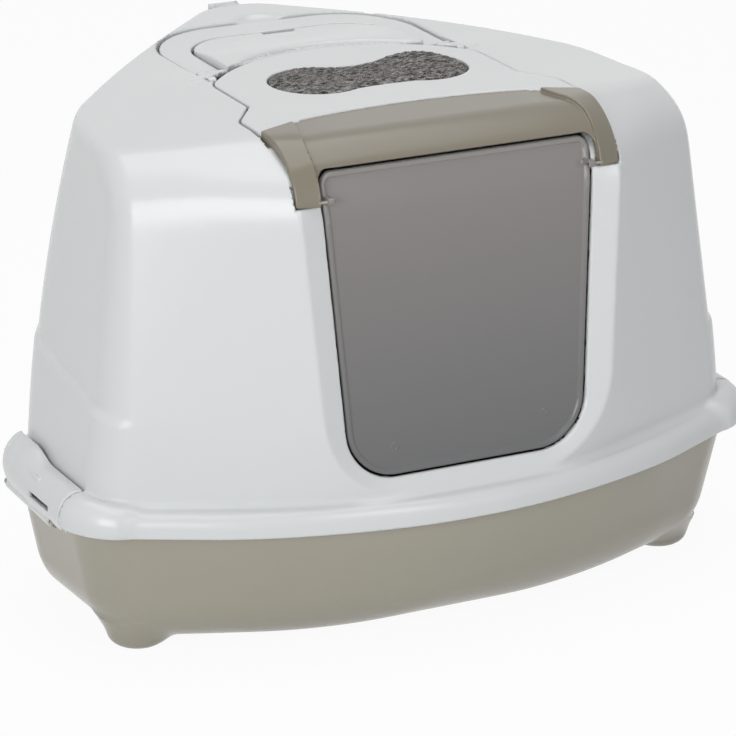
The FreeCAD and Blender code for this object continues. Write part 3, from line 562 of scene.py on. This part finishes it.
def with_visor_seat(shell, body, x, y, z):
    """The shell with a rebate for the visor's plate, and a hollow under each of its arms."""
    ax = np.abs(x)
    level = z + roof_fall(x)
    plate = plate_outline(x, y)
    rebate = np.maximum(np.maximum(plate - 5.0, 363.0 - level), body)
    shell = np.minimum(shell, rebate)
    shell = less(shell, np.maximum(plate - 1.6, PLATE_BED - level), 0.5)
    reach = visor_reach(x, y, z)
    seat = np.maximum(np.abs(reach - 34.6) - 3.0, ax - ARM_HALF - 4.5)
    seat = np.maximum(seat, np.maximum(330.0 - z, y + 112.0))
    shell = np.minimum(shell, np.maximum(seat, body))
    arms = np.maximum(37.5 - reach, ax - ARM_HALF - 1.2)
    arms = np.maximum(arms, np.maximum(333.2 - z, y + 118.0))
    return less(shell, arms, 0.5)


PANEL_HALF, PANEL_REAR, PANEL_ROUND = 80.5, 119.5, 40.5
BOSS_X, BOSS_RADIUS, BOSS_HALF_LONG = 110.5, 4.6, 5.2


def with_panel(shell, x, y, z):
    """The shell with the raised panel inside the handle, the hinge's bosses and the rear nub."""
    level = z + roof_fall(x)
    top = 370.9 + 5.0 * ease(112.0, 50.0, y)
    plan = rounded(np.abs(x) - PANEL_HALF, y - PANEL_REAR, PANEL_ROUND)
    panel = rounded(plan, level - top, 1.8)
    panel = rounded(panel, 107.0 - np.sqrt(x * x + (y + 50.0) ** 2), 3.0)
    panel = np.maximum(np.maximum(panel, 24.5 - y), 362.5 - z)
    over = np.maximum(plan, top - level)
    shell = np.minimum(np.maximum(shell, -over), panel)
    boss = np.sqrt((y - HINGE_Y) ** 2 + (z - PLATE_BED) ** 2) - BOSS_RADIUS
    boss = rounded(boss, np.abs(np.abs(x) - BOSS_X) - BOSS_HALF_LONG, 3.0)
    shell = joined(shell, boss, 1.5)
    nub = block(x, y, z, (-17.0, 199.0, 365.0), (7.0, 206.0, 373.8), 0.6)
    return joined(shell, nub, 1.5)


DISH, DISH_SIZE = (1.0, 150.0, 373.0), (19.0, 15.0, 5.0)


def with_openings(shell, body, ring, x, y, z):
    """The shell with its doorway, the roof's opening, the handle's recess and two finger hollows."""
    ax = np.abs(x)
    doorway = np.maximum(door_outline(ax, z), y + 96.0)
    shell = less(shell, doorway, 1.0)
    opening = np.maximum(np.maximum(ax - 98.0, -97.0 - y), np.sqrt(x * x + (y + 111.2) ** 2) - 159.0)
    notch = np.maximum(ax - 104.5, np.abs(y - HINGE_Y) - 4.5)
    opening = np.maximum(np.minimum(opening, notch), 340.0 - z)
    shell = less(shell, opening, 0.8)
    shell = less(shell, np.maximum(ring, HANDLE_BED - z), 0.8)
    (wide, long, deep) = DISH_SIZE
    dish = ((x - DISH[0]) / wide) ** 2 + ((y - DISH[1]) / long) ** 2 + ((z - DISH[2]) / deep) ** 2
    dish = np.sqrt(dish) * deep - deep
    cup = np.maximum(np.maximum(dish - 4.5, 363.0 - z), np.maximum(body, 151.5 - y))
    shell = np.minimum(shell, cup)
    grip = block(x, y, z, (-11.0, 112.5, HANDLE_BED), (15.0, 122.0, 390.0), 3.0)
    return less(less(shell, dish, 1.5), grip, 0.8)


def hood_shape(x, y, z):
    """The whole hood, a shell of even thickness that is open below."""
    body = hood_block(x, y, z, 0.0)
    room = hood_block(x, y, z, WALL)
    under = rounded(skirt_plan(x, y, 3.3), z - 115.4, 7.7)
    shell = less(hood_outside(body, x, y, z), np.minimum(room, under), 0.6)
    ring = handle_outline(x, y, 1.9)
    bed = np.maximum(np.maximum(ring - 3.0, 359.5 - z), body)
    shell = with_visor_seat(np.minimum(shell, bed), body, x, y, z)
    shell = with_panel(shell, x, y, z)
    shell = with_openings(shell, body, ring, x, y, z)
    return rounded(shell, LIP_Z - z, 1.5)


white = plastic("white_plastic", (0.735, 0.748, 0.745), (0.70, 0.715, 0.715), 0.24, 0.15)
hood = moulded("hood_cover", hood_shape, (-278.0, -226.0, LIP_Z), (278.0, 247.0, 376.0), 2.0)
hood.data.materials.append(white)
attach(hood, "hood")
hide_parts("hood")


# Visor plate: the white rear half of the flip-up roof, hinged on two pins behind.
# A bone-shaped well in its middle holds the filter, and its front edge arches round the taupe half.
BONE_X, BONE_Y = 5.0, -32.5


def bone(x, y, grow):
    """The filter's outline in plan: two round ends and a waist between two arcs."""
    ax = np.abs(x - BONE_X)
    ends = np.sqrt((ax - 41.5) ** 2 + (y - BONE_Y) ** 2) - 35.5 - grow
    bar = np.maximum(ax - 44.0, np.abs(y - BONE_Y) - 35.3 - grow)
    rear = np.sqrt(ax ** 2 + (y - 64.3) ** 2) - 71.3 + grow
    front = np.sqrt(ax ** 2 + (y + 233.8) ** 2) - 171.8 + grow
    waist = np.maximum(np.maximum(bar, -rear), -front)
    return np.minimum(ends, waist)


PLATE_TOP, WELL_Z = 374.6, 365.0


def visor_top_shape(x, y, z):
    """The plate with the walls of its well and two bored ears for the hinge pins."""
    ax = np.abs(x)
    level = z + roof_fall(x)
    plate = rounded(plate_outline(x, y), level - PLATE_TOP, 1.4)
    plate = np.maximum(plate, 370.4 - level)
    well = np.maximum(np.maximum(bone(x, y, 2.0), WELL_Z - z), level - 372.0)
    axle = np.sqrt((y - HINGE_Y) ** 2 + (z - HINGE_Z) ** 2)
    ear = rounded(axle - 4.0, np.abs(ax - 100.5) - 3.0, 0.6)
    plate = np.minimum(np.minimum(plate, well), ear)
    plate = np.maximum(plate, -np.maximum(axle - 2.1, 97.0 - ax))
    return less(plate, bone(x, y, 0.0), 1.2)


visor_top = moulded(
    "visor_plate", visor_top_shape, (-126.0, -140.0, WELL_Z), (126.0, 47.0, 375.0), 1.25)
visor_top.data.materials.append(white)
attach(visor_top, "visor")
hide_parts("visor_top")


# Visor front: the taupe half, moulded in a roll over the roof's edge with an arm down each side of
# the doorway. The arms stand over the face between them and slope down to their outer edges.
# The flap hangs on pins in the arms.
ARM_LOW, ARM_REACH = 334.0, 45.5
FACE_REACH, FACE_HALF_THICK = 41.4, 1.5


def visor_front_shape(x, y, z):
    """The face with a lap under the plate, and the two arms."""
    ax = np.abs(x)
    reach = visor_reach(x, y, z)
    crest = 97.0 + 11.0 * ease(-118.0, -172.0, y)
    slope = 0.27 * ease(-140.0, -175.0, y)
    arm = rounded((reach - ARM_REACH + slope * (ax - crest)) * 0.97, crest - ax, 0.9)
    arm = np.maximum(rounded(arm, ax - ARM_HALF, 0.8), 37.9 - reach)
    arm = rounded(arm, np.maximum(ARM_LOW - z, arm_end(ax, y)), 0.8)
    face = np.maximum(np.abs(reach - FACE_REACH) - FACE_HALF_THICK, ax - 110.0)
    face = np.maximum(face, np.maximum(seam(x, y), ARM_LOW - z))
    face = less(face, rounded(ax - crest + 0.4, z - 357.0, 9.0), 0.7)
    lap = np.maximum(np.maximum(ax - 104.0, ROLL_Y - 0.5 - y), y + 99.0)
    lap = np.maximum(lap, np.abs(reach - 40.2) - 1.4)
    return joined(np.minimum(face, lap), arm, 0.6)


# Painted shade: the visor's taupe is written darker than the tray's, though both are the same plastic.
visor_taupe_painted_darker = plastic("taupe_visor_painted_darker", (0.235, 0.208, 0.157), (0.217, 0.193, 0.144), 0.22, 0.15)
visor_front = moulded(
    "visor_roll", visor_front_shape, (-126.0, -194.0, ARM_LOW), (126.0, -99.0, 377.0), 1.1)
visor_front.data.materials.append(visor_taupe_painted_darker)
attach(visor_front, "visor")
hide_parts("visor_front")


# Filter: a pad of coarse carbon felt, cut to a bone and pressed into the plate's well.
# Its top is a little crowned and shaggy, and a slotted floor under it carries it.
def pad_shape(x, y, z):
    """The felt, with a rough top that is higher over the two ends."""
    shag = 0.4 * np.sin(1.9 * x + 0.7 * y) * np.sin(1.3 * y - 0.6 * x)
    shag = shag + 0.3 * np.sin(3.1 * x - 2.3 * y)
    shag += 0.5 * np.sin(0.53 * x + 0.2) * np.sin(0.61 * y - 0.31 * x)
    edge = bone(x, y, -0.6)
    mound = 3.6 * np.exp(-((x - 50.0) / 26.0) ** 2 - ((y + 12.0) / 16.0) ** 2)
    mound += 1.2 * np.exp(-((x + 40.0) / 24.0) ** 2 - ((y + 14.0) / 15.0) ** 2)
    crown = 376.0 - roof_fall(x) - 3.0 * np.exp(np.minimum(edge, 0.0) / 4.0) + shag + mound
    return rounded(rounded(edge, z - crown, 1.4), WELL_Z - z, 0.8)


felt = bpy.data.materials.new("carbon_felt")
felt.use_nodes = True
nodes, links = felt.node_tree.nodes, felt.node_tree.links
place = nodes.new("ShaderNodeTexCoord")
strands = []
for turn, scale in ((0.5, (170.0, 620.0, 300.0)), (-0.9, (190.0, 680.0, 300.0))):
    lie = nodes.new("ShaderNodeMapping")
    lie.inputs["Rotation"].default_value = (0.0, 0.0, turn)
    lie.inputs["Scale"].default_value = scale
    strand = nodes.new("ShaderNodeTexNoise")
    strand.inputs["Scale"].default_value = 1.0
    strand.inputs["Detail"].default_value = 4.0
    strand.inputs["Distortion"].default_value = 0.6
    links.new(place.outputs["Object"], lie.inputs["Vector"])
    links.new(lie.outputs["Vector"], strand.inputs["Vector"])
    strands.append(strand)
tufts = nodes.new("ShaderNodeMath")
tufts.operation = "MAXIMUM"
links.new(strands[0].outputs["Fac"], tufts.inputs[0])
links.new(strands[1].outputs["Fac"], tufts.inputs[1])
ramp = nodes.new("ShaderNodeValToRGB")
ramp.color_ramp.elements[0].position = 0.45
ramp.color_ramp.elements[0].color = (0.01, 0.0095, 0.009, 1.0)
ramp.color_ramp.elements[1].position = 0.68
ramp.color_ramp.elements[1].color = (0.46, 0.43, 0.42, 1.0)
fur = nodes.new("ShaderNodeBump")
fur.inputs["Strength"].default_value = 1.0
fur.inputs["Distance"].default_value = 0.0016
surface = nodes["Principled BSDF"]
surface.inputs["Roughness"].default_value = 0.95
links.new(tufts.outputs[0], ramp.inputs["Fac"])
links.new(tufts.outputs[0], fur.inputs["Height"])
links.new(ramp.outputs["Color"], surface.inputs["Base Color"])
links.new(fur.outputs["Normal"], surface.inputs["Normal"])
pad = moulded("filter_felt", pad_shape, (-76.0, -69.0, WELL_Z), (84.0, 5.0, 381.0), 1.0)
pad.data.materials.append(felt)
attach(pad, "visor")
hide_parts("filter_pad")


# Flap: a smoked, see-through swing door with a raised rim, painted lighter as a highlight, and two
# small moulding marks.
# It hangs between the visor's arms on two short pins near its top corners.
FLAP_LOW, FLAP_TOP = 135.3, 354.5
FLAP_PIN_Y, FLAP_PIN_Z = -190.4, 337.0
MARKS = ((-57.0, 155.0), (62.0, 161.0))


def flap_outline(x, z):
    """The flap seen from the front."""
    ax = np.abs(x)
    half = np.minimum(90.7 + 13.0 * (z - DOOR_LOW) / DOOR_TALL, 104.2)
    return rounded(rounded(ax - half, FLAP_LOW - z, 34.5), z - FLAP_TOP, 9.0)


def flap_shape(x, y, z):
    """The flap with its rim, its two marks and a knuckle on each pin."""
    ax = np.abs(x)
    depth = (y - panel_y(z)) * 0.996 - 4.5 * ease(322.0, 356.0, z)
    outline = flap_outline(x, z)
    plate = rounded(outline, np.abs(depth - 5.25) - 1.25, 0.5)
    rim = rounded(np.abs(outline + 2.0) - 1.9, np.abs(depth - 4.6) - 2.0, 1.3)
    solid = joined(plate, rim, 1.0)
    mark = np.minimum(*[np.sqrt((x - mark_x) ** 2 + (z - mark_z) ** 2) for mark_x, mark_z in MARKS])
    solid = joined(solid, rounded(np.abs(mark - 2.2) - 0.6, np.abs(depth - 4.4) - 0.8, 0.3), 0.5)
    knuckle = np.sqrt((y - FLAP_PIN_Y) ** 2 + (z - FLAP_PIN_Z) ** 2) - 2.6
    knuckle = rounded(knuckle, np.abs(ax - 101.0) - 2.5, 0.5)
    web = block(ax, y, z, (98.5, FLAP_PIN_Y, 335.0), (103.5, -182.5, 339.0), 0.5)
    return joined(solid, np.minimum(knuckle, web), 0.8)


smoked = bpy.data.materials.new("smoked_plastic")
smoked.use_nodes = True
nodes, links = smoked.node_tree.nodes, smoked.node_tree.links
place = nodes.new("ShaderNodeTexCoord")
axis = nodes.new("ShaderNodeSeparateXYZ")
# Painted light and shade: the smoked plastic is written darker towards the bottom of the flap and
# lighter towards its top.
flap_painted_shading = nodes.new("ShaderNodeMapRange")
flap_painted_shading.inputs["From Min"].default_value = 0.14
flap_painted_shading.inputs["From Max"].default_value = 0.35
tone = nodes.new("ShaderNodeMix")
tone.data_type = "RGBA"
tone.inputs[6].default_value = (0.17, 0.171, 0.173, 1.0)
tone.inputs[7].default_value = (0.285, 0.265, 0.255, 1.0)
haze = nodes.new("ShaderNodeTexNoise")
haze.inputs["Scale"].default_value = 30.0
gloss = nodes.new("ShaderNodeMapRange")
gloss.inputs["To Min"].default_value = 0.1
gloss.inputs["To Max"].default_value = 0.2
surface = nodes["Principled BSDF"]
surface.inputs["IOR"].default_value = 1.49
surface.inputs["Alpha"].default_value = 0.93
links.new(place.outputs["Object"], axis.inputs[0])
links.new(axis.outputs["Z"], flap_painted_shading.inputs["Value"])
links.new(flap_painted_shading.outputs["Result"], tone.inputs[0])
links.new(tone.outputs[2], surface.inputs["Base Color"])
links.new(place.outputs["Object"], haze.inputs["Vector"])
links.new(haze.outputs["Fac"], gloss.inputs["Value"])
links.new(gloss.outputs["Result"], surface.inputs["Roughness"])
flap = moulded("flap_door", flap_shape, (-104.0, -210.0, 135.0), (104.0, -172.0, 355.0), 1.1)
flap.data.materials.append(smoked)
# Painted highlight: the rim's faces get a lighter copy of the smoked material, for the light its edges
# catch.
rim_painted_highlight = smoked.copy()
rim_painted_highlight.name = "smoked_rim_painted_highlight"
for node in rim_painted_highlight.node_tree.nodes:
    if node.bl_idname == "ShaderNodeMix":
        node.inputs[6].default_value = (0.36, 0.36, 0.355, 1.0)
        node.inputs[7].default_value = (0.30, 0.285, 0.27, 1.0)
flap.data.materials.append(rim_painted_highlight)
middles = np.empty(3 * len(flap.data.polygons))
flap.data.polygons.foreach_get("center", middles)
middles = middles.reshape(-1, 3) * 1000.0
on_rim = (flap_outline(middles[:, 0], middles[:, 2]) > -3.2) & (middles[:, 1] > -198.5)
flap.data.polygons.foreach_set("material_index", on_rim.astype(np.int32))
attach(flap, "flap")
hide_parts("flap")


# Handle: a flat white bail, folded down into its recess round the raised panel.
# Its two legs turn on pins in the horns of that panel.
PIVOT_Y, PIVOT_Z = 30.0, 369.5


def handle_shape(x, y, z):
    """The bail with a round end on each pivot."""
    ax = np.abs(x)
    ring = np.maximum(handle_outline(x, y, 0.0), PIVOT_Y - y)
    flat = rounded(rounded(ring, z + roof_fall(x) - 370.8, 1.2), 366.5 - z, 1.0)
    end = np.sqrt((y - PIVOT_Y) ** 2 + (z - PIVOT_Z) ** 2) - 3.0
    return np.minimum(flat, rounded(end, np.abs(ax - 92.5) - 10.5, 1.2))


handle = moulded("handle_bail", handle_shape, (-103.0, 26.0, 366.5), (103.0, 149.0, 374.5), 1.2)
handle.data.materials.append(white)
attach(handle, "handle")
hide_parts("handle")


# Clips: two bulging white latches, moulded, on pins in the tray's lugs.
# Each hooks over the hood's ledge with a nib, and its top edge drops towards the front.
# A slot low on its face lets a finger pull it open.
CLIP_MIDDLE_Y, LUG_GAP, LUG_END = -50.0, 40.5, 47.5


def clip_shape(x, y, z):
    """The right clip, cut free of the lugs and bored for its pin."""
    out = skirt_plan(x, y, 0.0)
    tall = ease(-62.0, -32.0, y)
    bow = np.sqrt((out + BULGE_IN + 4.0 * tall) ** 2 + (z - BULGE_Z - 3.0 * tall) ** 2)
    bow = bow - 18.9 - 3.9 * tall
    plate = np.maximum(np.abs(bow + 1.5) - 1.5, -12.5 - out)
    cap = np.maximum(np.maximum(bow, 0.5 - out), y + 109.5)
    plate = np.minimum(plate, cap)
    top = 126.2 + 7.0 * tall
    plate = rounded(plate, np.maximum(z - top, 95.6 - z), 0.9)
    plate = rounded(plate, np.maximum(-112.4 - y, y + 1.8), 1.2)
    nib = block(x, y, z, (260.0, -70.0, 119.4), (273.0, -3.0, 122.4), 0.8)
    axle = np.sqrt((x - CLIP_AXIS_X) ** 2 + (z - CLIP_AXIS_Z) ** 2)
    along = np.abs(y - CLIP_MIDDLE_Y)
    barrel = np.maximum(axle - 4.0, along - LUG_GAP)
    lugs = np.maximum(axle - 4.5, np.maximum(LUG_GAP - along, along - LUG_END))
    solid = np.minimum(np.minimum(plate, nib), barrel)
    solid = np.maximum(solid, -lugs)
    slot = block(x, y, z, (268.0, -95.0, 106.5), (290.0, -60.0, 110.5), 1.4)
    solid = less(solid, slot, 0.6)
    line = np.maximum(np.abs(y + 8.0) - 0.6, -0.7 - bow)
    solid = less(solid, line, 0.3)
    return np.maximum(solid, 2.05 - axle)


def left_clip_shape(x, y, z):
    """The mirror image of the right clip."""
    return clip_shape(-x, y, z)


clip_right = moulded(
    "clip_right_latch", clip_shape, (252.0, -113.0, 93.0), (279.5, -3.0, 134.0), 0.8)
clip_left = moulded(
    "clip_left_latch", left_clip_shape, (-279.5, -113.0, 93.0), (-252.0, -3.0, 134.0), 0.8)
for clip, node in ((clip_right, "clip_right"), (clip_left, "clip_left")):
    clip.data.materials.append(white)
    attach(clip, node)
    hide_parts(node)


# Pins and the filter's slotted floor: small plain mouldings that stay as they are drawn.
# Those of the visor and handle are white, and those of the flap and clips are taupe.
white_nodes = (
    "filter_grid", "visor_pin_left", "visor_pin_right", "handle_pin_left", "handle_pin_right")
taupe_nodes = ("flap_pin_left", "flap_pin_right", "clip_pin_left", "clip_pin_right")
for names, material in ((white_nodes, white), (taupe_nodes, taupe)):
    for name in names:
        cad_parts[name].data.materials.clear()
        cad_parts[name].data.materials.append(material)
